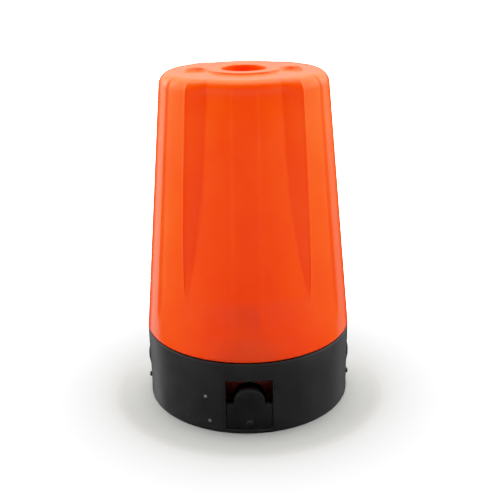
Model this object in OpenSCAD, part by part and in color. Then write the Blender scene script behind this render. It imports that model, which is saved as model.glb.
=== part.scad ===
// Twist wire connector. Wires enter a low base ring through four side windows, each closed by
// a springy gate, and turn upward through a guide into a conical spring. The tall cap carries
// the spring and turns on the ring's snap neck, which winds the spring onto the conductors.
// Millimetres. +Z is the twist axis, the foot of the ring is z = 0 and the front is -Y.

/* [Overall] */
// Height of the whole connector
total_h = 56.4; // [50:0.1:68]
// Outside diameter of the base ring at its foot
base_d = 35; // [33:0.5:44]
// Diameter where the cap's sloping side would meet its top face
top_d = 27; // [25:0.5:33]

/* [Base ring] */
// Height of the base ring
ring_h = 12.6; // [12.5:0.1:16]
// How far the ring's side leans outward from foot to top edge
ring_flare = 0.05; // [0:0.05:0.6]
// Wall thickness of the ring
ring_wall = 1.6; // [1.4:0.1:1.9]
// Width of each wire window
window_w = 7.6; // [6.6:0.1:9.4]
// Height of the windows' top edge above the foot
window_top = 9.5; // [8.8:0.1:9.7]

/* [Wire gates] */
// Thickness of a gate's panel
gate_t = 1; // [0.8:0.1:1.2]
// Height of a gate's shoulders above the foot
shoulder_z = 5.2; // [4.6:0.1:6]
// Height of a gate's round tongue above the foot
tongue_z = 8; // [7.2:0.1:8.4]
// Width of a gate's tongue
tongue_w = 5; // [4:0.1:5.6]

/* [Cap] */
// Wall thickness of the cap beside its snap groove's bore
cap_wall = 2.2; // [1.9:0.1:2.6]
// Radius of the rounding between the cap's side and its top face
edge_round = 2.1; // [1.2:0.1:2.4]
// Depth of the finger panels at their top end
panel_depth = 1.4; // [0.3:0.05:1.5]
// Half the angle that each of the two finger panels spans
panel_half = 39.5; // [30:0.5:50]
// Diameter of the port in the cap's top
port_d = 7.2; // [6:0.1:8.4]

/* [Wire path] */
// Width of each arch in the wire guide
arch_w = 5.4; // [4.6:0.1:6]
// Height of the arches' crowns above the foot
arch_z = 6.9; // [6.4:0.1:7.8]
// Thickness of the spring's square wire
spring_wire = 0.9; // [0.7:0.1:1.1]
// Number of turns in the conical spring
spring_turns = 9; // [7:1:11]

/* [Hidden] */
$fn = 96;

black = [0.07, 0.07, 0.075];
orange = [0.93, 0.28, 0.05];
red_orange = [0.86, 0.2, 0.05];
steel = [0.7, 0.7, 0.72];

// clearances
turn_fit = 0.1;    // radial, between the neck and the cap that turns on it
seam_gap = 0.15;   // axial, between the ring's deck and the cap's foot
gate_gap = 0.12;   // between a gate and the sides of its window
seat_gap = 0.1;    // round pieces that are pushed into a wall of the same body

// base ring and its snap neck
foot_r = base_d / 2;
ring_in_r = foot_r - ring_wall;
ring_top_r = foot_r + ring_flare;
ring_edge = 0.2;
deck_t = 1.8;
deck_z = ring_h - deck_t;
sill_z = 0.65;

// cap
cap_foot_z = ring_h + seam_gap;
cap_foot_r = ring_top_r;
boss_h = 0.3;
boss_r = port_d / 2 + 2.3;
cap_top_z = total_h - boss_h;
cap_lean = (cap_foot_r - top_d / 2) / (cap_top_z - cap_foot_z);
cap_bore_r = cap_foot_r - cap_wall;
neck_r = cap_bore_r - turn_fit;
neck_in_r = neck_r - 1.4;
neck_top = ring_h + 7;
bead_z = ring_h + 5;
bead_out = 0.4;
seat_z = neck_top + 1;
roof_t = 2.4;
roof_z = cap_top_z - roof_t;
panel_foot_z = ring_h + 9.4;

// base cover
cover_r = ring_in_r - seat_gap;
cover_z = 0.4;
cover_rim_t = 1.4;
lip_out = 0.25;
plateau_z = 3.4;
plateau_r = foot_r - 4.4;

// wire guide
guide_r = foot_r - 4.7;
guide_wall = 1.2;
flange_t = 1;
throat_r = 8;
throat_z = neck_top - 0.5;

// spring and its sleeve
sleeve_wall = 1.3;
spring_foot_z = seat_z + 4;
spring_top_z = roof_z - 4.6;
spring_foot_r = 8;
spring_top_r = 3.4;
sleeve_roof_z = spring_top_z + 1.2;
fin_count = 8;
fin_t = 1.2;

// radius of the cap's sloping side at height z
function side_r(z) = cap_foot_r - cap_lean * (z - cap_foot_z);
// radius of the cap's inner wall at height z
function inner_r(z) = side_r(z) - cap_wall;
// radius of the base ring's outer face at height z
function ring_r(z) = foot_r + ring_flare * z / ring_h;
// radius of the spring's centre line at height z
function coil_r(z) = spring_foot_r
    + (spring_top_r - spring_foot_r) * (z - spring_foot_z) / (spring_top_z - spring_foot_z);
// radius of the sleeve's inner face at height z
function sleeve_r(z) = coil_r(z) + spring_wire / 2 + seat_gap / 2;
// a point at radius r, counted round from the front towards the right
function around(angle, r) = [r * sin(angle), -r * cos(angle)];

// ---- base ring ----

module window_slot(angle) {
    rotate([0, 0, angle])
        translate([-window_w / 2, -foot_r - 2, sill_z])
            cube([window_w, ring_wall + 3, window_top - sill_z]);
}

module base_ring() {
    color(black)
        difference() {
            rotate_extrude() polygon([
                [ring_in_r, 0],
                [foot_r - ring_edge, 0],
                [ring_r(ring_edge), ring_edge],
                [ring_r(ring_h - ring_edge), ring_h - ring_edge],
                [ring_top_r - ring_edge, ring_h],
                [neck_r, ring_h],
                [neck_r, bead_z - 0.7],
                [neck_r + bead_out, bead_z - 0.2],
                [neck_r + bead_out, bead_z + 0.1],
                [neck_r, bead_z + 0.8],
                [neck_r, neck_top - 0.3],
                [neck_r - 0.3, neck_top],
                [neck_in_r, neck_top],
                [neck_in_r, deck_z],
                [ring_in_r, deck_z],
                [ring_in_r, cover_z + cover_rim_t],
                [ring_in_r + lip_out, cover_z + cover_rim_t - 0.3],
                [ring_in_r + lip_out, cover_z + 0.4],
                [ring_in_r, cover_z + 0.1]
            ]);
            for (angle = [0 : 90 : 270]) window_slot(angle);
        }
}

// ---- base cover, snapped into the ring from below ----

module base_cover() {
    hollow_r = plateau_r - 1.4;
    color(black)
        rotate_extrude() polygon([
            [0, cover_z + 1.2],
            [hollow_r, cover_z + 1.2],
            [hollow_r, cover_z],
            [cover_r, cover_z],
            [cover_r, cover_z + 0.5],
            [cover_r + lip_out - 0.05, cover_z + 0.6],
            [cover_r + lip_out - 0.05, cover_z + cover_rim_t - 0.5],
            [cover_r, cover_z + cover_rim_t - 0.2],
            [cover_r, cover_z + cover_rim_t],
            [plateau_r, cover_z + cover_rim_t],
            [plateau_r, plateau_z],
            [4.4, plateau_z],
            [0.8, plateau_z + 3.4],
            [0, plateau_z + 3.6]
        ]);
}

// ---- wire gate, which bends inward about the round bar inside its foot ----

gate_foot_z = sill_z + 0.15;
face_in = 0.1;
hinge_z = 1.3;
hinge_y = foot_r - 0.8;
hinge_r = 0.45;
hinge_w = window_w - 2;
pip_z = 1.95;

module gate_outline() {
    half = window_w / 2 - gate_gap;
    tongue_r = tongue_w / 2;
    translate([-half, gate_foot_z]) square([2 * half, shoulder_z - gate_foot_z]);
    translate([-tongue_r, gate_foot_z]) square([tongue_w, tongue_z - tongue_r - gate_foot_z]);
    translate([0, tongue_z - tongue_r]) circle(r = tongue_r);
}

module gate_shell() {
    tip_z = tongue_z + 0.5;
    tip_out = 0.15;
    rotate_extrude() polygon([
        [ring_r(gate_foot_z) - 0.7, gate_foot_z],
        [ring_r(gate_foot_z) - face_in, gate_foot_z],
        [ring_r(shoulder_z) - face_in, shoulder_z],
        [ring_r(tongue_z) + tip_out, tongue_z - 1.4],
        [ring_r(tongue_z) + tip_out, tongue_z - 0.5],
        [ring_r(tip_z) - face_in, tip_z],
        [ring_r(tip_z) - face_in - gate_t, tip_z],
        [ring_r(hinge_z) - face_in - gate_t, hinge_z + 0.3]
    ]);
}

module gate(angle) {
    color(black)
        rotate([0, 0, angle]) {
            intersection() {
                gate_shell();
                rotate([90, 0, 0]) linear_extrude(foot_r + 5) gate_outline();
            }
            translate([-hinge_w / 2, -hinge_y, hinge_z])
                rotate([0, 90, 0]) cylinder(r = hinge_r, h = hinge_w, $fn = 32);
            translate([0, 0.3 - foot_r, pip_z])
                rotate([90, 0, 0]) cylinder(r1 = 0.6, r2 = 0.4, h = 0.65, $fn = 32);
        }
}

module gate_front() { gate(0); }
module gate_right() { gate(90); }
module gate_back() { gate(180); }
module gate_left() { gate(270); }

// ---- wire guide, an arched wall under the deck with a funnel up into the neck ----

module guide_arch(angle) {
    arch_r = arch_w / 2;
    rotate([0, 0, angle])
        rotate([90, 0, 0])
            linear_extrude(guide_r + 2) {
                translate([-arch_r, plateau_z - 1]) square([arch_w, arch_z - arch_r - plateau_z + 1]);
                translate([0, arch_z - arch_r]) circle(r = arch_r);
            }
}

module wire_guide() {
    color(red_orange)
        difference() {
            rotate_extrude() polygon([
                [guide_r - guide_wall, plateau_z],
                [guide_r, plateau_z],
                [guide_r, deck_z - flange_t],
                [ring_in_r - seat_gap, deck_z - flange_t],
                [ring_in_r - seat_gap, deck_z],
                [neck_in_r - seat_gap, deck_z],
                [throat_r + guide_wall, throat_z],
                [throat_r, throat_z],
                [guide_r - guide_wall, deck_z - flange_t]
            ]);
            for (angle = [0 : 90 : 270]) guide_arch(angle);
        }
}

// ---- cap ----

module cap_solid() {
    lean = atan(cap_lean);
    round_z = cap_top_z - edge_round;
    round_x = side_r(round_z) - edge_round / cos(lean);
    steps = 8;
    foot_edge = 0.2;
    rotate_extrude() polygon(concat(
        [[0, cap_foot_z],
         [cap_foot_r - foot_edge, cap_foot_z],
         [side_r(cap_foot_z + foot_edge), cap_foot_z + foot_edge]],
        [for (i = [0 : steps])
            let (t = lean + (90 - lean) * i / steps)
            [round_x + edge_round * cos(t), round_z + edge_round * sin(t)]],
        [[0, cap_top_z]]
    ));
    translate([0, 0, roof_z]) cylinder(r = boss_r, h = roof_t + boss_h);
}

module cap_cavity() {
    groove = bead_out + 0.1;
    rotate_extrude() polygon([
        [0, cap_foot_z - 1],
        [cap_bore_r, cap_foot_z - 1],
        [cap_bore_r, bead_z - 0.9],
        [cap_bore_r + groove, bead_z - 0.4],
        [cap_bore_r + groove, bead_z + 0.3],
        [cap_bore_r, bead_z + 1],
        [cap_bore_r, seat_z],
        [inner_r(seat_z), seat_z],
        [inner_r(roof_z), roof_z],
        [0, roof_z]
    ]);
}

module panel_cut(angle) {
    reach = 2 * cap_foot_r;
    intersection() {
        rotate_extrude() polygon([
            [side_r(panel_foot_z) + 0.02, panel_foot_z],
            [cap_foot_r + 2, panel_foot_z],
            [cap_foot_r + 2, total_h],
            [side_r(total_h) - panel_depth, total_h]
        ]);
        linear_extrude(total_h) polygon([
            [0, 0],
            around(angle - panel_half, reach),
            around(angle, reach),
            around(angle + panel_half, reach)
        ]);
    }
}

module roof_pocket(side) {
    pocket_w = 3.2;
    pocket_len = 6;
    depth = 0.5;
    straight = pocket_len - pocket_w;
    translate([side * (boss_r + 0.2 + pocket_w / 2), 0, cap_top_z - depth])
        linear_extrude(depth + 1) {
            square([pocket_w, straight], center = true);
            for (end = [-1, 1]) translate([0, end * straight / 2]) circle(d = pocket_w);
        }
}

module cap() {
    color(orange)
        difference() {
            cap_solid();
            cap_cavity();
            for (angle = [0, 180]) panel_cut(angle);
            for (side = [-1, 1]) roof_pocket(side);
            translate([0, 0, roof_z - 1]) cylinder(d = port_d, h = roof_t + 3);
        }
}

// ---- spring sleeve, pushed up into the cap ----

module sleeve_fins() {
    intersection() {
        rotate_extrude() polygon([
            [sleeve_r(seat_z) + sleeve_wall / 2, seat_z],
            [inner_r(seat_z) - seat_gap, seat_z],
            [inner_r(roof_z) - seat_gap, roof_z],
            [sleeve_r(sleeve_roof_z) + sleeve_wall / 2, roof_z]
        ]);
        for (i = [0 : fin_count - 1])
            rotate([0, 0, 360 * (i + 0.5) / fin_count])
                translate([0, -fin_t / 2, 0]) cube([foot_r, fin_t, total_h]);
    }
}

module spring_sleeve() {
    flange_t = 0.6;
    color(red_orange) {
        rotate_extrude() polygon([
            [sleeve_r(seat_z - flange_t), seat_z - flange_t],
            [cap_bore_r - seat_gap, seat_z - flange_t],
            [cap_bore_r - seat_gap, seat_z],
            [inner_r(seat_z) - seat_gap, seat_z],
            [inner_r(seat_z) - seat_gap, seat_z + 0.8],
            [sleeve_r(seat_z + 0.8) + sleeve_wall, seat_z + 0.8],
            [sleeve_r(sleeve_roof_z) + sleeve_wall, roof_z],
            [0, roof_z],
            [0, sleeve_roof_z],
            [sleeve_r(sleeve_roof_z), sleeve_roof_z]
        ]);
        sleeve_fins();
    }
}

// ---- conical spring of square wire ----

module spring() {
    per_turn = 20;
    rings = per_turn * spring_turns;
    half = spring_wire / 2;
    corners = [[half, -half], [half, half], [-half, half], [-half, -half]];
    points = [
        for (i = [0 : rings], corner = corners)
            let (z = spring_foot_z + (spring_top_z - spring_foot_z) * i / rings,
                 turn = 360 * i / per_turn,
                 r = coil_r(z) + corner[0])
            [r * cos(turn), r * sin(turn), z + corner[1]]
    ];
    sides = [
        for (i = [0 : rings - 1], k = [0 : 3])
            let (a = 4 * i + k, b = 4 * i + (k + 1) % 4)
            [a, a + 4, b + 4, b]
    ];
    ends = [[0, 1, 2, 3], [for (k = [3 : -1 : 0]) 4 * rings + k]];
    color(steel) polyhedron(points, concat(sides, ends), convexity = 10);
}

base_ring();
base_cover();
gate_front();
gate_right();
gate_back();
gate_left();
wire_guide();
cap();
spring_sleeve();
spring();
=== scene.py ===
# %% [markdown]
# # A twist wire connector
# An electrician pushes bare wire ends into the four windows of the black base, then turns the
# tall orange cap. A hidden conical spring turns with the cap and winds itself onto the wires.
# This lesson dresses the working model of that object: the sizes, the joints and the hidden
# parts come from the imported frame, and each step below makes one visible piece or one finish.

# %% Load the frame and keep its size
import math

import bmesh
import bpy
from mathutils import Matrix, Vector


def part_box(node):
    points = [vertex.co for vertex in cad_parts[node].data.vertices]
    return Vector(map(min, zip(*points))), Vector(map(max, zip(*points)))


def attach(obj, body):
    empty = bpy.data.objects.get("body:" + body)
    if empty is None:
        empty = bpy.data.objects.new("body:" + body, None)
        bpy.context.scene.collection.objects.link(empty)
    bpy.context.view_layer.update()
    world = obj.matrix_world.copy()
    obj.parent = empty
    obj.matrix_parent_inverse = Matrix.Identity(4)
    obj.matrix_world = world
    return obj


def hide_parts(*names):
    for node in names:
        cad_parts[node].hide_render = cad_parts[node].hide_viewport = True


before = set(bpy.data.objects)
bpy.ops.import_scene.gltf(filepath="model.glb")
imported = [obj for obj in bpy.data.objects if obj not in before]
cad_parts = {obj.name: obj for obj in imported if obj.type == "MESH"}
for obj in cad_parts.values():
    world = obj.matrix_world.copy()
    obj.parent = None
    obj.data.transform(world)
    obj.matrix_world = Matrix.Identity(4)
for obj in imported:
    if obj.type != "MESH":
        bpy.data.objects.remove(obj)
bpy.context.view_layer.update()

MM = 0.001

# %% [markdown]
# ## Places and sizes
# Every piece is placed from the frame, so the pieces fit the working model without any moving
# about. The boxes of the cap and of the base ring give the heights and the radii, and the few
# sizes that a box can't tell, such as a wall's thickness, are named here in millimetres.

# %% Read the main sizes from the frame
cap_low, cap_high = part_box("cap")
ring_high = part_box("base_ring")[1]

cap_foot_z = cap_low.z / MM
boss_height = 0.3
cap_top_z = cap_high.z / MM - boss_height
cap_foot_r = cap_high.x / MM
cap_top_r = 13.5
cap_wall = 2.2
neck_top_z = ring_high.z / MM
ring_top_r = ring_high.x / MM
ring_lean_out = 0.05
ring_foot_r = ring_top_r - ring_lean_out
seam = 0.15
ring_top_z = cap_foot_z - seam
print("cap from", round(cap_foot_z, 2), "to", round(cap_top_z, 2), "foot radius", round(cap_foot_r, 2))
print("ring top", round(ring_top_z, 2), "radius", round(ring_top_r, 2))


# %% Helpers that every piece uses
def finish_piece(name, bm, body, node, smooth_angle=35):
    """Turns a bmesh into a piece that rides on a body and stands for a node of the frame."""
    bmesh.ops.remove_doubles(bm, verts=bm.verts, dist=0.0001 * MM)
    bmesh.ops.recalc_face_normals(bm, faces=bm.faces)
    mesh = bpy.data.meshes.new(name)
    bm.to_mesh(mesh)
    bm.free()
    for face in mesh.polygons:
        face.use_smooth = True
    mesh.set_sharp_from_angle(angle=math.radians(smooth_angle))
    piece = bpy.data.objects.new(name, mesh)
    bpy.context.scene.collection.objects.link(piece)
    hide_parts(node)
    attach(piece, body)
    print(name, "has", len(mesh.polygons), "faces")
    return piece


def arc(center_r, center_z, radius, start, end, steps):
    """Points of a round edge in the (radius, height) plane, angles in degrees from outward."""
    points = []
    for i in range(steps + 1):
        turn = math.radians(start + (end - start) * i / steps)
        points.append((center_r + radius * math.cos(turn), center_z + radius * math.sin(turn)))
    return points


def run(start, end, cuts):
    """Points that divide a straight stretch of an outline evenly, without its end point."""
    return [
        (start[0] + (end[0] - start[0]) * i / cuts, start[1] + (end[1] - start[1]) * i / cuts)
        for i in range(cuts)
    ]


def turned(outline, columns):
    """Spins a closed (radius, height) outline in millimetres once round the Z axis."""
    bm = bmesh.new()
    verts = [bm.verts.new((0, -r * MM, z * MM)) for r, z in outline]
    edges = [bm.edges.new((verts[i - 1], verts[i])) for i in range(len(verts))]
    bmesh.ops.spin(
        bm, geom=verts + edges, cent=(0, 0, 0), axis=(0, 0, 1), dvec=(0, 0, 0),
        angle=math.tau, space=Matrix.Identity(4), steps=columns, use_merge=True,
        use_normal_flip=False, use_duplicate=False,
    )
    return bm


def blend_step(low, high, value):
    """0 below low, 1 above high, and a smooth rise between them."""
    t = min(1.0, max(0.0, (value - low) / (high - low)))
    return t * t * (3 - 2 * t)


def along(value, knots):
    """The value between pairs (from, to), joined by straight stretches."""
    for (a, fa), (b, fb) in zip(knots, knots[1:]):
        if value <= b:
            return fa + (fb - fa) * (value - a) / (b - a)
    return knots[-1][1]


# %% [markdown]
# ## The cap
# The real cap is one injection moulding. Its side is a tall cone, with a broad finger panel
# sunk into the front and the back. A panel is deepest under the top rounding and runs out
# smoothly towards the foot. Its side walls narrow downwards and meet the cone in a crisp
# ridge. A low strip runs down the panel's middle, and the two sides of the cap stand a little
# proud, so that a fine step runs down each of them.
# A lathe shape suits it: an outline is spun round the axis into a closed shell with an inner
# wall, and then its points are pushed in where the panels are. The columns of points are first
# drawn together along the ridges, so that each ridge lies on an edge of the mesh and is crisp.

# %% Sizes of the cap's outside
edge_round = 2.1
boss_r, boss_round, boss_foot_rise = 5.9, 0.15, 0.12
port_r, port_round = 3.6, 0.25
roof_thickness = 2.4
foot_round = 0.4
panel_foot_z = 22.3
panel_depth, panel_extra = 1.4, 0.15
panel_extra_z = (50, 54.5)
top_hold = 0.35
ridge_foot_angle, ridge_spread = 36.4, 4.6
wall_foot_angle, wall_spread = 1.4, 11.4
ridge_proud, ridge_half = 0.1, 1.3
ridge_rise_z = (21, 24)
pad_angle, pad_proud, pad_step_half = 60, 0.26, 0.8
strip_half, strip_proud, strip_step_half = 2.35, 0.08, 0.7
step_rise_z = (16, 19.5)
strip_column, wall_column, ridge_column, pad_column = 8, 28, 41, 59
lean = (cap_foot_r - cap_top_r) / (cap_top_z - cap_foot_z)


def side_r(z):
    """Radius of the cap's cone at a height, in millimetres."""
    return cap_foot_r - lean * (z - cap_foot_z)


print("the side leans in by", round(math.degrees(math.atan(lean)), 2), "degrees")

# %% Outline of the cap, outside then inside
lean_angle = math.degrees(math.atan(lean))
round_z = cap_top_z - edge_round
round_r = side_r(round_z) - edge_round / math.cos(math.radians(lean_angle))
foot_arc_r = side_r(cap_foot_z + foot_round) - foot_round
bore_r = cap_foot_r - cap_wall
seat_z = neck_top_z + 1
roof_z = cap_top_z - roof_thickness
groove_z, groove_depth = neck_top_z - 2, 0.5
boss_top_z = cap_top_z + boss_height

outer_side = arc(foot_arc_r, cap_foot_z + foot_round, foot_round, -90, lean_angle, 5)
top_arc = arc(round_r, round_z, edge_round, lean_angle, 90, 18)
cap_outline = (
    outer_side[:-1]
    + run(outer_side[-1], top_arc[0], 80)
    + top_arc[:-1]
    + run(top_arc[-1], (boss_r + boss_round, cap_top_z), 30)
    + [(boss_r + boss_round, cap_top_z), (boss_r, cap_top_z + boss_foot_rise)]
    + arc(boss_r - boss_round, boss_top_z - boss_round, boss_round, 0, 90, 3)
    + run((boss_r - 0.4, boss_top_z), (port_r + port_round, boss_top_z), 5)
    + arc(port_r + port_round, boss_top_z - port_round, port_round, 90, 180, 5)
    + [
        (port_r, roof_z),
        (side_r(roof_z) - cap_wall, roof_z),
        (side_r(seat_z) - cap_wall, seat_z),
        (bore_r, seat_z),
        (bore_r, groove_z + 1),
        (bore_r + groove_depth, groove_z + 0.3),
        (bore_r + groove_depth, groove_z - 0.4),
        (bore_r, groove_z - 0.9),
        (bore_r, cap_foot_z + 0.2),
        (bore_r + 0.2, cap_foot_z),
    ]
)
cap_mesh = turned(cap_outline, 360)
print("outline points:", len(cap_outline), "faces:", len(cap_mesh.faces))


# %% Where a panel's edges run at each height
def panel_rise(z):
    """0 at a panel's foot and 1 at the cap's top."""
    return min(1.0, max(0.0, (z - panel_foot_z) / (cap_top_z - panel_foot_z)))


def panel_lines(z):
    """Angles from the panel's middle, in degrees: strip edge, foot and ridge of its side wall."""
    above = 1 - panel_rise(z)
    ridge = ridge_foot_angle + ridge_spread * math.sqrt(1 - above ** 2)
    wall = wall_foot_angle + wall_spread * (1 - above ** 2.6)
    strip = math.degrees(math.asin(strip_half / side_r(z)))
    return strip, ridge - wall, ridge


def draw_together(angle, z):
    """Moves a column's even angle, so that four chosen columns lie on the cap's lines."""
    strip, wall_foot, ridge = panel_lines(z)
    knots = [
        (0, 0), (strip_column, strip), (wall_column, wall_foot),
        (ridge_column, ridge), (pad_column, pad_angle), (90, 90),
    ]
    return along(angle, knots)


def panel_fall(angle, z):
    """How far a panel lies below the land beside it, in millimetres."""
    strip, wall_foot, ridge = panel_lines(z)
    depth = panel_depth * (1 - (1 - panel_rise(z)) ** 3) * (1 + panel_extra * blend_step(*panel_extra_z, z))
    return depth * min(1.0, max(0.0, (ridge - angle) / (ridge - wall_foot)))


# %% Push the points of the cap's outside into shape
def land_height(even_angle, z):
    """Height of the pads, the strips and the ridges against the cone, in millimetres."""
    pad = blend_step(pad_column - pad_step_half, pad_column + pad_step_half, even_angle)
    strip = 1 - blend_step(strip_column - strip_step_half, strip_column + strip_step_half, even_angle)
    ridge = max(0.0, 1 - abs(even_angle - ridge_column) / ridge_half)
    steps = strip_proud * strip - pad_proud * (1 - pad)
    return ridge_proud * ridge * blend_step(*ridge_rise_z, z) + steps * blend_step(*step_rise_z, z)


for vert in cap_mesh.verts:
    x, y, z = vert.co / MM
    r = math.hypot(x, y)
    turn = math.degrees(math.atan2(x, -y))
    off_front = abs(turn)
    folded = off_front if off_front <= 90 else 180 - off_front
    actual = draw_together(folded, z)
    if r > side_r(z) - 0.05 and cap_foot_z + 0.5 < z < round_z + 0.01:
        r += land_height(folded, z) - panel_fall(actual, z)
    elif z >= round_z and r > boss_r + 0.5:
        climb = (z - round_z) / edge_round
        on_top = max(0.0, (round_r - r) / (round_r - boss_r - 0.5))
        rest = (1 - top_hold * blend_step(0, 1, climb)) * (1 - on_top)
        r += (land_height(folded, round_z) - panel_fall(actual, round_z)) * rest
    new_off = actual if off_front <= 90 else 180 - actual
    new_turn = math.radians(math.copysign(new_off, turn))
    vert.co = Vector((r * math.sin(new_turn), -r * math.cos(new_turn), z)) * MM
print("panels are", panel_depth, "mm deep at the top")

# %% Two shallow pockets in the cap's top face
pocket_half_w, pocket_half_len, pocket_depth = 1.6, 3.0, 0.45
pocket_x = boss_r + 0.2 + pocket_half_w


def pocket_fall(x, y):
    """Depth of a round-ended pocket beside the port, with a soft edge, in millimetres."""
    straight = pocket_half_len - pocket_half_w
    beyond = max(0.0, abs(y) - straight)
    gap = pocket_half_w - math.hypot(abs(x) - pocket_x, beyond)
    return pocket_depth * blend_step(-0.05, 0.35, gap)


for vert in cap_mesh.verts:
    x, y, z = vert.co / MM
    if abs(z - cap_top_z) < 0.02 and math.hypot(x, y) > boss_r:
        vert.co.z -= pocket_fall(x, y) * MM
print("pockets stand", round(pocket_x, 2), "mm from the axis")
cap_skin = finish_piece("cap_shell", cap_mesh, "twist_cap", "cap")

# %% [markdown]
# ## The base ring
# The ring is a second moulding, in black. Its side is almost upright and flush with the cap,
# and four windows are cut through its wall. It is spun like the cap. The faces in the windows are
# taken out of both walls, the openings are joined by a bridge, and their rims get the small
# rounding that a mould leaves, which catches a line of light.

# %% Outline of the ring and its snap neck
ring_wall = 1.6
ring_in_r = ring_foot_r - ring_wall
sill_z, window_top_z = 0.65, 9.5
window_half, window_reach = 3.8, 12
rim_round = 0.14
neck_r = bore_r - 0.1
bead_z = neck_top_z - 2
edge = 0.2


def ring_r(z):
    """Radius of the ring's outer face at a height, in millimetres."""
    return ring_foot_r + (ring_top_r - ring_foot_r) * z / ring_top_z


ring_outline = (
    [(ring_in_r, 0)]
    + arc(ring_r(edge) - edge, edge, edge, -90, 0, 4)
    + run((ring_r(sill_z), sill_z), (ring_r(window_top_z), window_top_z), 6)
    + [(ring_r(window_top_z), window_top_z)]
    + arc(ring_r(ring_top_z) - edge, ring_top_z - edge, edge, 0, 90, 4)
    + [
        (neck_r, ring_top_z),
        (neck_r, bead_z - 0.7),
        (neck_r + 0.4, bead_z - 0.2),
        (neck_r + 0.4, bead_z + 0.1),
        (neck_r, bead_z + 0.8),
        (neck_r, neck_top_z - 0.3),
        (neck_r - 0.3, neck_top_z),
        (neck_r - 1.4, neck_top_z),
        (neck_r - 1.4, ring_top_z - 1.8),
        (ring_in_r, ring_top_z - 1.8),
    ]
    + run((ring_in_r, window_top_z), (ring_in_r, sill_z), 6)
    + [(ring_in_r, sill_z)]
)
ring_mesh = turned(ring_outline, 180)
print("ring outline points:", len(ring_outline))


# %% Cut the four windows through the ring's wall
def window_angle(x, y):
    """Angle from the middle of the nearest window, in degrees, and that window's own angle."""
    turn = math.degrees(math.atan2(x, -y))
    middle = 90 * round(turn / 90)
    return turn - middle, middle


def in_window(face):
    """True for a face of the outer or inner wall that lies in a window."""
    x, y, z = face.calc_center_median() / MM
    off, middle = window_angle(x, y)
    on_wall = abs(face.normal.z) < 0.5 and math.hypot(x, y) > ring_in_r - 0.5
    return on_wall and abs(off) < window_reach and sill_z < z < window_top_z


ring_mesh.faces.ensure_lookup_table()
ring_mesh.normal_update()
window_faces = [face for face in ring_mesh.faces if in_window(face)]
bmesh.ops.delete(ring_mesh, geom=window_faces, context="FACES")
rims = [e for e in ring_mesh.edges if e.is_boundary]
print("window faces taken out:", len(window_faces), "rim edges:", len(rims))

# %% Join each window's two rims and give the outer one a rounding
for middle in (0, 90, 180, -90):
    loop = []
    for e in rims:
        center = (e.verts[0].co + e.verts[1].co) / 2
        off, nearest = window_angle(center.x, center.y)
        if nearest == middle or (middle == 180 and nearest == -180):
            loop.append(e)
    bmesh.ops.bridge_loops(ring_mesh, edges=loop)

for vert in ring_mesh.verts:
    x, y, z = vert.co / MM
    r = math.hypot(x, y)
    off, middle = window_angle(x, y)
    if r < ring_in_r - 0.05 or z > window_top_z + 2:
        continue
    reach = math.degrees(math.asin(window_half / r))
    new_off = along(abs(off), [(0, 0), (window_reach, reach), (45, 45)])
    turn = math.radians(middle + math.copysign(new_off, off))
    vert.co = Vector((r * math.sin(turn), -r * math.cos(turn), z)) * MM

outer_rim = [
    e for e in ring_mesh.edges
    if all(math.hypot(v.co.x, v.co.y) / MM > ring_in_r + 1 for v in e.verts)
    and e.is_manifold and e.calc_face_angle() > 1.0
    and all(sill_z - 0.01 <= v.co.z / MM <= window_top_z + 0.01 for v in e.verts)
]
bmesh.ops.bevel(
    ring_mesh, geom=outer_rim, offset=rim_round * MM, offset_type="OFFSET", segments=2,
    profile=0.5, affect="EDGES", material=-1, clamp_overlap=True,
)
ring_skin = finish_piece("ring_shell", ring_mesh, "base", "base_ring")
print("rim edges rounded:", len(outer_rim))


# %% [markdown]
# ## The small mouldings
# The gates, the wire guide and the base cover already have their true shape in the frame.
# What they lack is the rounding of a moulded edge. A copy of each is merged into one surface,
# its flat triangles are joined, and every sharp edge is bevelled a little.

# %% Copy a node with rounded edges
def rounded_copy(node, name, body, size, sharp=30):
    """A copy of a node of the frame whose sharp edges are bevelled by a size in millimetres."""
    bm = bmesh.new()
    bm.from_mesh(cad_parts[node].data)
    bmesh.ops.remove_doubles(bm, verts=bm.verts, dist=0.002 * MM)
    bmesh.ops.dissolve_limit(
        bm, angle_limit=math.radians(0.5), verts=bm.verts, edges=bm.edges,
        use_dissolve_boundaries=False,
    )
    sharp_edges = [
        e for e in bm.edges
        if e.is_manifold and e.calc_face_angle() > math.radians(sharp)
    ]
    bmesh.ops.bevel(
        bm, geom=sharp_edges, offset=size * MM, offset_type="OFFSET", segments=2,
        profile=0.5, affect="EDGES", material=-1, clamp_overlap=True,
    )
    return finish_piece(name, bm, body, node)


gate_skins = [
    rounded_copy(f"gate_{side}", f"gate_{side}_flap", f"flap_{side}", 0.08)
    for side in ("front", "right", "back", "left")
]
guide_skin = rounded_copy("wire_guide", "wire_guide_wall", "base", 0.1)
cover_skin = rounded_copy("base_cover", "base_cover_disc", "base", 0.12)


# %% [markdown]
# ## Finishes
# All the plastics are mouldings, so each finish is mostly one colour. What makes it look real
# is small: a flow mottle from the melt, fine draw marks where the part slid out of its mould,
# a grain in the gloss, and a little light that passes under the surface.

# %% Colour and node helpers
def linear(hex_colour):
    """An sRGB colour such as "#ff8800" as linear values with alpha."""
    values = [int(hex_colour[i:i + 2], 16) / 255 for i in (1, 3, 5)]
    return [v / 12.92 if v <= 0.04045 else ((v + 0.055) / 1.055) ** 2.4 for v in values] + [1.0]


def new_material(name):
    """A node material with its surface shader, ready to be given nodes."""
    material = bpy.data.materials.new(name)
    material.use_nodes = True
    return material, material.node_tree, material.node_tree.nodes["Principled BSDF"]


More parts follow.
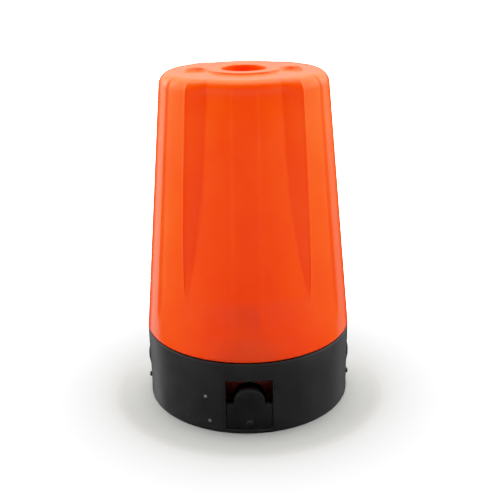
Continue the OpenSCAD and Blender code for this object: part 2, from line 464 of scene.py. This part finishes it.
def add(tree, kind, settings=None, values=None, links=None):
    """Adds a node, sets its properties and socket values, and links sockets into it."""
    made = tree.nodes.new(kind)
    for key, value in (settings or {}).items():
        setattr(made, key, value)
    for key, value in (values or {}).items():
        made.inputs[key].default_value = value
    for key, socket in (links or {}).items():
        tree.links.new(socket, made.inputs[key])
    return made


def per_mm(size):
    """The scale that makes a pattern's features about this many millimetres wide."""
    return 1 / (size * MM)


def colour_ramp(tree, fac, stops):
    """A ramp of (position, hex colour) stops driven by a socket."""
    ramp = add(tree, "ShaderNodeValToRGB", links={"Fac": fac})
    elements = ramp.color_ramp.elements
    while len(elements) < len(stops):
        elements.new(0.5)
    for element, (position, colour) in zip(elements, stops):
        element.position = position
        element.color = linear(colour)
    return ramp


print("orange in linear light:", [round(v, 3) for v in linear("#e8450f")])


# %% [markdown]
# ### Moulded polypropylene
# Polypropylene is waxy and a little see-through, so light spreads under it and its shadows
# stay warm. A polished mould gives it an even gloss, with faint upright draw marks. Its colour
# is painted darker lower down, towards the cap's foot: a painted shade for the light that falls
# off there. The wire guide and the sleeve are mouldings of the same kind, with tones of their
# own; the guide's pale, pinkish tones are partly a painted reflection and painted light, for a
# wall that sits in shade inside the windows.

# %% Moulded polypropylene: the cap, the wire guide and the sleeve
# Painted shade: the colour is scaled down from full at 48 mm to 0.66 of itself at 12 mm and below, for the
# light that falls off towards the foot.
painted_foot_shade, foot_shade_z, painted_shade_top_z = 0.66, 12, 48
mark_stretch = 0.05


def moulded_polypropylene(name, light, middle, dark, roughness, glow):
    """An orange moulding: three tones for its mottle, its gloss and how much light enters it, with painted
    shade that darkens it towards the foot.
    """
    material, tree, surface = new_material(name)
    place = add(tree, "ShaderNodeTexCoord").outputs["Object"]
    mottle = add(tree, "ShaderNodeTexNoise", links={"Vector": place},
                 values={"Scale": per_mm(9), "Detail": 3.0, "Roughness": 0.55})
    upright = add(tree, "ShaderNodeMapping", links={"Vector": place})
    upright.inputs["Scale"].default_value = (1.0, 1.0, mark_stretch)
    draw_marks = add(tree, "ShaderNodeTexNoise", values={"Scale": per_mm(0.7), "Detail": 2.0},
                     links={"Vector": upright.outputs["Vector"]})
    grain = add(tree, "ShaderNodeTexNoise", values={"Scale": per_mm(0.35), "Detail": 2.0},
                links={"Vector": place})
    tint = colour_ramp(tree, mottle.outputs["Fac"], [(0.3, dark), (0.5, middle), (0.72, light)])
    # Painted shade: the colour is darkened by height towards the foot.
    height = add(tree, "ShaderNodeSeparateXYZ", links={"Vector": place}).outputs["Z"]
    shade = add(tree, "ShaderNodeMapRange", links={"Value": height},
                values={"From Min": foot_shade_z * MM, "From Max": painted_shade_top_z * MM,
                        "To Min": painted_foot_shade})
    toned = add(tree, "ShaderNodeVectorMath", settings={"operation": "SCALE"},
                links={"Vector": tint.outputs["Color"], "Scale": shade.outputs["Result"]})
    tree.links.new(toned.outputs["Vector"], surface.inputs["Base Color"])
    gloss = add(tree, "ShaderNodeMapRange", links={"Value": draw_marks.outputs["Fac"]},
                values={"From Min": 0.3, "From Max": 0.7,
                        "To Min": roughness - 0.03, "To Max": roughness + 0.03})
    tree.links.new(gloss.outputs["Result"], surface.inputs["Roughness"])
    marks = add(tree, "ShaderNodeBump", values={"Strength": 0.05, "Distance": 0.02 * MM},
                links={"Height": draw_marks.outputs["Fac"]})
    skin = add(tree, "ShaderNodeBump", values={"Strength": 0.15, "Distance": 0.02 * MM},
               links={"Height": grain.outputs["Fac"], "Normal": marks.outputs["Normal"]})
    tree.links.new(skin.outputs["Normal"], surface.inputs["Normal"])
    surface.inputs["IOR"].default_value = 1.49
    surface.inputs["Subsurface Weight"].default_value = glow
    surface.inputs["Subsurface Radius"].default_value = (1.0, 0.3, 0.1)
    surface.inputs["Subsurface Scale"].default_value = 1.5 * MM
    return material


cap_finish = moulded_polypropylene(
    "polypropylene_orange_gloss", "#f84504", "#f44103", "#ee3d03", 0.2, 0.15)
# The guide's tones are partly its red-orange plastic and partly painted light: paler and pinker, a painted
# reflection and painted brightness for a wall in shade inside the windows.
guide_finish_painted_veil = moulded_polypropylene(
    "polypropylene_red_orange", "#e0604c", "#d85846", "#cc5040", 0.42, 0.2)
sleeve_finish = moulded_polypropylene(
    "polypropylene_red_orange_deep", "#dc380c", "#d4340a", "#c83008", 0.3, 0.1)
print("moulded in", cap_finish.name, guide_finish_painted_veil.name, sleeve_finish.name)

# %% [markdown]
# ### Moulded nylon
# Black nylon is dense and takes no light in. Its mould was blasted, so it has a soft sheen
# that shows at the sides and a fine dry grain, with a few specks of workshop dust.


# %% Moulded nylon: the black pieces
def moulded_nylon(name, dark, pale, roughness):
    """A black moulding: two tones for its cloudiness, and how dull it is."""
    material, tree, surface = new_material(name)
    place = add(tree, "ShaderNodeTexCoord").outputs["Object"]
    cloud = add(tree, "ShaderNodeTexNoise", values={"Scale": per_mm(5), "Detail": 4.0},
                links={"Vector": place})
    grain = add(tree, "ShaderNodeTexNoise", values={"Scale": per_mm(0.25), "Detail": 3.0},
                links={"Vector": place})
    dust = add(tree, "ShaderNodeTexVoronoi", values={"Scale": per_mm(6)}, links={"Vector": place})
    speck = add(tree, "ShaderNodeMapRange",
                values={"From Min": 0.035, "From Max": 0.055, "To Min": 1.0, "To Max": 0.0},
                links={"Value": dust.outputs["Distance"]})
    tone = colour_ramp(tree, cloud.outputs["Fac"], [(0.3, dark), (0.7, pale)])
    dusted = add(tree, "ShaderNodeMix", settings={"data_type": "RGBA"})
    tree.links.new(speck.outputs["Result"], dusted.inputs["Factor"])
    tree.links.new(tone.outputs["Color"], dusted.inputs["A"])
    dusted.inputs["B"].default_value = linear("#6e6d69")
    tree.links.new(dusted.outputs["Result"], surface.inputs["Base Color"])
    gloss = add(tree, "ShaderNodeMapRange", links={"Value": cloud.outputs["Fac"]},
                values={"From Min": 0.3, "From Max": 0.7,
                        "To Min": roughness - 0.05, "To Max": roughness + 0.06})
    tree.links.new(gloss.outputs["Result"], surface.inputs["Roughness"])
    skin = add(tree, "ShaderNodeBump", values={"Strength": 0.25, "Distance": 0.03 * MM},
               links={"Height": grain.outputs["Fac"]})
    tree.links.new(skin.outputs["Normal"], surface.inputs["Normal"])
    surface.inputs["IOR"].default_value = 1.53
    return material


ring_finish = moulded_nylon("nylon_black_satin", "#1e1e1f", "#262627", 0.42)
gate_finish = moulded_nylon("nylon_black_fine", "#18181a", "#1e1e1f", 0.5)
print("moulded in", ring_finish.name, gate_finish.name)

# %% [markdown]
# ### Plated spring steel
# The hidden spring is drawn wire with a thin zinc plating: a bright grey metal whose gloss
# varies a little from place to place.


# %% Plated wire: the spring
def plated_wire(name):
    """A bright plated metal with a fine variation of tone and gloss."""
    material, tree, surface = new_material(name)
    place = add(tree, "ShaderNodeTexCoord").outputs["Object"]
    lines = add(tree, "ShaderNodeTexNoise", values={"Scale": per_mm(0.3), "Detail": 2.0},
                links={"Vector": place})
    tone = colour_ramp(tree, lines.outputs["Fac"], [(0.3, "#a9abad"), (0.7, "#c4c6c8")])
    tree.links.new(tone.outputs["Color"], surface.inputs["Base Color"])
    gloss = add(tree, "ShaderNodeMapRange", values={"To Min": 0.22, "To Max": 0.38},
                links={"Value": lines.outputs["Fac"]})
    tree.links.new(gloss.outputs["Result"], surface.inputs["Roughness"])
    surface.inputs["Metallic"].default_value = 1.0
    return material


spring_finish = plated_wire("spring_steel_zinc_plated")
print("plated:", spring_finish.name)


# %% Put the finishes on
def dress(piece, material):
    """Makes a material the only one on a piece."""
    piece.data.materials.clear()
    piece.data.materials.append(material)


dress(cap_skin, cap_finish)
dress(ring_skin, ring_finish)
dress(cover_skin, ring_finish)
dress(guide_skin, guide_finish_painted_veil)
for gate_skin in gate_skins:
    dress(gate_skin, gate_finish)
for node, material in (("spring_sleeve", sleeve_finish), ("spring", spring_finish)):
    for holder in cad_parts[node].material_slots:
        holder.material = material
print("finishes:", sorted(m.name for m in bpy.data.materials))


# %% [markdown]
# ## Floor
# A plain pale paper under the object. Its colour is painted a little darker close by, a painted
# shadow round the foot on top of the soft shadow the lights cast, and it fades to pure white
# farther out, so that it meets the white wall without an edge.
# It is kept out of the mirror images, because its pale veil would dull the gloss.

# %% Floor
paper_white = 2.5
fade_start, fade_end = 22, 45

floor_mesh = bmesh.new()
bmesh.ops.create_circle(floor_mesh, cap_ends=True, segments=96, radius=2.5)
floor_data = bpy.data.meshes.new("studio_floor")
floor_mesh.to_mesh(floor_data)
floor_mesh.free()
floor = bpy.data.objects.new("studio_floor", floor_data)
bpy.context.scene.collection.objects.link(floor)

floor_material, floor_tree, floor_surface = new_material("studio_paper")
floor_place = add(floor_tree, "ShaderNodeTexCoord").outputs["Object"]
far = add(floor_tree, "ShaderNodeVectorMath", settings={"operation": "LENGTH"},
          links={"Vector": floor_place})
spread = add(floor_tree, "ShaderNodeMapRange", settings={"interpolation_type": "SMOOTHSTEP"},
             values={"From Min": fade_start * MM, "From Max": fade_end * MM},
             links={"Value": far.outputs["Value"]})
# Painted shadow: the paper's colour is darker near the object and grows lighter from 22 mm to 45 mm out.
paper = colour_ramp(floor_tree, spread.outputs["Result"], [(0.0, "#7a7a78"), (1.0, "#a2a2a0")])
floor_tree.links.new(paper.outputs["Color"], floor_surface.inputs["Base Color"])
straight = add(floor_tree, "ShaderNodeLightPath").outputs["Is Camera Ray"]
beyond = add(floor_tree, "ShaderNodeMath", settings={"operation": "MULTIPLY"},
             links={0: spread.outputs["Result"], 1: straight})
faded = add(floor_tree, "ShaderNodeMath", settings={"operation": "MULTIPLY"},
            values={1: paper_white}, links={0: beyond.outputs["Value"]})
floor_tree.links.new(faded.outputs["Value"], floor_surface.inputs["Emission Strength"])
floor_surface.inputs["Emission Color"].default_value = (1, 1, 1, 1)
floor_surface.inputs["Roughness"].default_value = 0.95
floor_surface.inputs["Specular IOR Level"].default_value = 0.0
dress(floor, floor_material)
floor.visible_glossy = False
print("the floor fades to white between", fade_start, "and", fade_end, "mm from the middle")

# %% [markdown]
# ## Light
# A wide overhead light stands a little behind the object, and a broad soft light on each side,
# so that the sides are much brighter than the middle. These three are kept out of the mirror
# images. What the gloss shows instead is a pair of dimmer tall strips, which draw the pale
# line down each side, and a pale wall behind, which whitens the top face. The left strip is
# the brighter one.


# %% Lights
def soft_light(name, turn, rise, distance, width, height, brightness, mirrored):
    """A soft light placed by its angle round the object from the front and its rise, in degrees."""
    across, up = math.radians(turn), math.radians(rise)
    place = Vector((
        distance * math.cos(up) * math.sin(across),
        -distance * math.cos(up) * math.cos(across),
        distance * math.sin(up),
    ))
    data = bpy.data.lights.new(name, "AREA")
    data.shape = "RECTANGLE"
    data.size, data.size_y = width, height
    data.energy = brightness * math.pi * width * height
    light = bpy.data.objects.new(name, data)
    light.location = place
    light.rotation_euler = (Vector((0, 0, 0.03)) - place).to_track_quat("-Z", "Y").to_euler()
    light.visible_camera = False
    light.visible_glossy = mirrored
    bpy.context.scene.collection.objects.link(light)


# Each call gives turn, rise, distance, width, height and brightness, and if the gloss shows it.
soft_light("overhead_panel", 180, 68, 1.3, 2.0, 2.0, 8.8, False)
for side, name, strip_brightness in ((-1, "left", 0.85), (1, "right", 0.4)):
    soft_light(name + "_side", side * 102, 18, 0.7, 0.85, 0.5, 10.2, False)
    soft_light(name + "_strip", side * 131, 0, 0.55, 0.26, 0.7, strip_brightness, True)
print("lights:", len(bpy.data.lights))

# %% The room: white straight ahead, a pale wall behind, and a low even fill
wall_brightness, fill_brightness = 0.75, 0.1

world = bpy.data.worlds.new("studio_room")
bpy.context.scene.world = world
world.use_nodes = True
tree = world.node_tree
direction = add(tree, "ShaderNodeTexCoord").outputs["Generated"]
heading = add(tree, "ShaderNodeSeparateXYZ", links={"Vector": direction})
above = add(tree, "ShaderNodeMapRange", settings={"interpolation_type": "SMOOTHSTEP"},
            values={"From Min": -0.05, "From Max": 0.2}, links={"Value": heading.outputs["Z"]})
behind = add(tree, "ShaderNodeMapRange", settings={"interpolation_type": "SMOOTHSTEP"},
             values={"From Min": -0.3, "From Max": 0.5}, links={"Value": heading.outputs["Y"]})
wall = add(tree, "ShaderNodeMath", settings={"operation": "MULTIPLY"},
           links={0: above.outputs["Result"], 1: behind.outputs["Result"]})
ray = add(tree, "ShaderNodeLightPath")
fill = add(tree, "ShaderNodeMath", settings={"operation": "MULTIPLY"},
           values={1: fill_brightness}, links={0: ray.outputs["Is Diffuse Ray"]})
room = add(tree, "ShaderNodeMath", settings={"operation": "MULTIPLY_ADD"},
           values={1: wall_brightness}, links={0: wall.outputs["Value"], 2: fill.outputs["Value"]})
seen = add(tree, "ShaderNodeMath", settings={"operation": "MULTIPLY"},
           values={1: paper_white}, links={0: ray.outputs["Is Camera Ray"]})
level = add(tree, "ShaderNodeMath", settings={"operation": "MAXIMUM"},
            links={0: room.outputs["Value"], 1: seen.outputs["Value"]})
backdrop = tree.nodes["Background"]
tree.links.new(level.outputs["Value"], backdrop.inputs["Strength"])
backdrop.inputs["Color"].default_value = (1, 1, 1, 1)
print("wall", wall_brightness, "fill", fill_brightness, "white", paper_white)

# %% [markdown]
# ## Tones
# A camera keeps dark and middle tones as they are and presses the bright ones together. With
# the same soft shoulder a bright orange side turns paler, instead of running into pure red.

# %% Press the highlights together
view = bpy.context.scene.view_settings
view.view_transform = "Standard"
view.use_curve_mapping = True
tones = view.curve_mapping
tones.white_level = (paper_white, paper_white, paper_white)
tones.extend = "HORIZONTAL"
shoulder = tones.curves[3].points
shoulder[0].location = (0, 0)
shoulder[-1].location = (1, 1)
for scene_tone, shown_tone in ((0.8, 0.8), (1.0, 0.865), (1.3, 0.91), (1.6, 0.94), (2.0, 0.97)):
    shoulder.new(scene_tone / paper_white, shown_tone)
for point in shoulder:
    point.handle_type = "VECTOR"
tones.update()
print("tone curve points:", len(shoulder))

# %% [markdown]
# ## Camera
# A short tele lens close to the object, a little above it, as for a small product.

# %% Camera
camera_distance, camera_height = 136.64, 75.79
pitch, yaw, roll = 20.23, 0.226, -0.9
camera_data = bpy.data.cameras.new("product_camera")
camera_data.lens = 61.02
camera_data.sensor_width = 36.0
camera_data.clip_start, camera_data.clip_end = 0.005, 20.0
camera = bpy.data.objects.new("product_camera", camera_data)
aim = (
    Matrix.Rotation(math.radians(-yaw), 4, "Z")
    @ Matrix.Rotation(math.radians(90 - pitch), 4, "X")
    @ Matrix.Rotation(math.radians(roll), 4, "Z")
)
camera.matrix_world = Matrix.Translation((0, -camera_distance * MM, camera_height * MM)) @ aim
bpy.context.scene.collection.objects.link(camera)
bpy.context.scene.camera = camera
print("camera looks down by", pitch, "degrees")
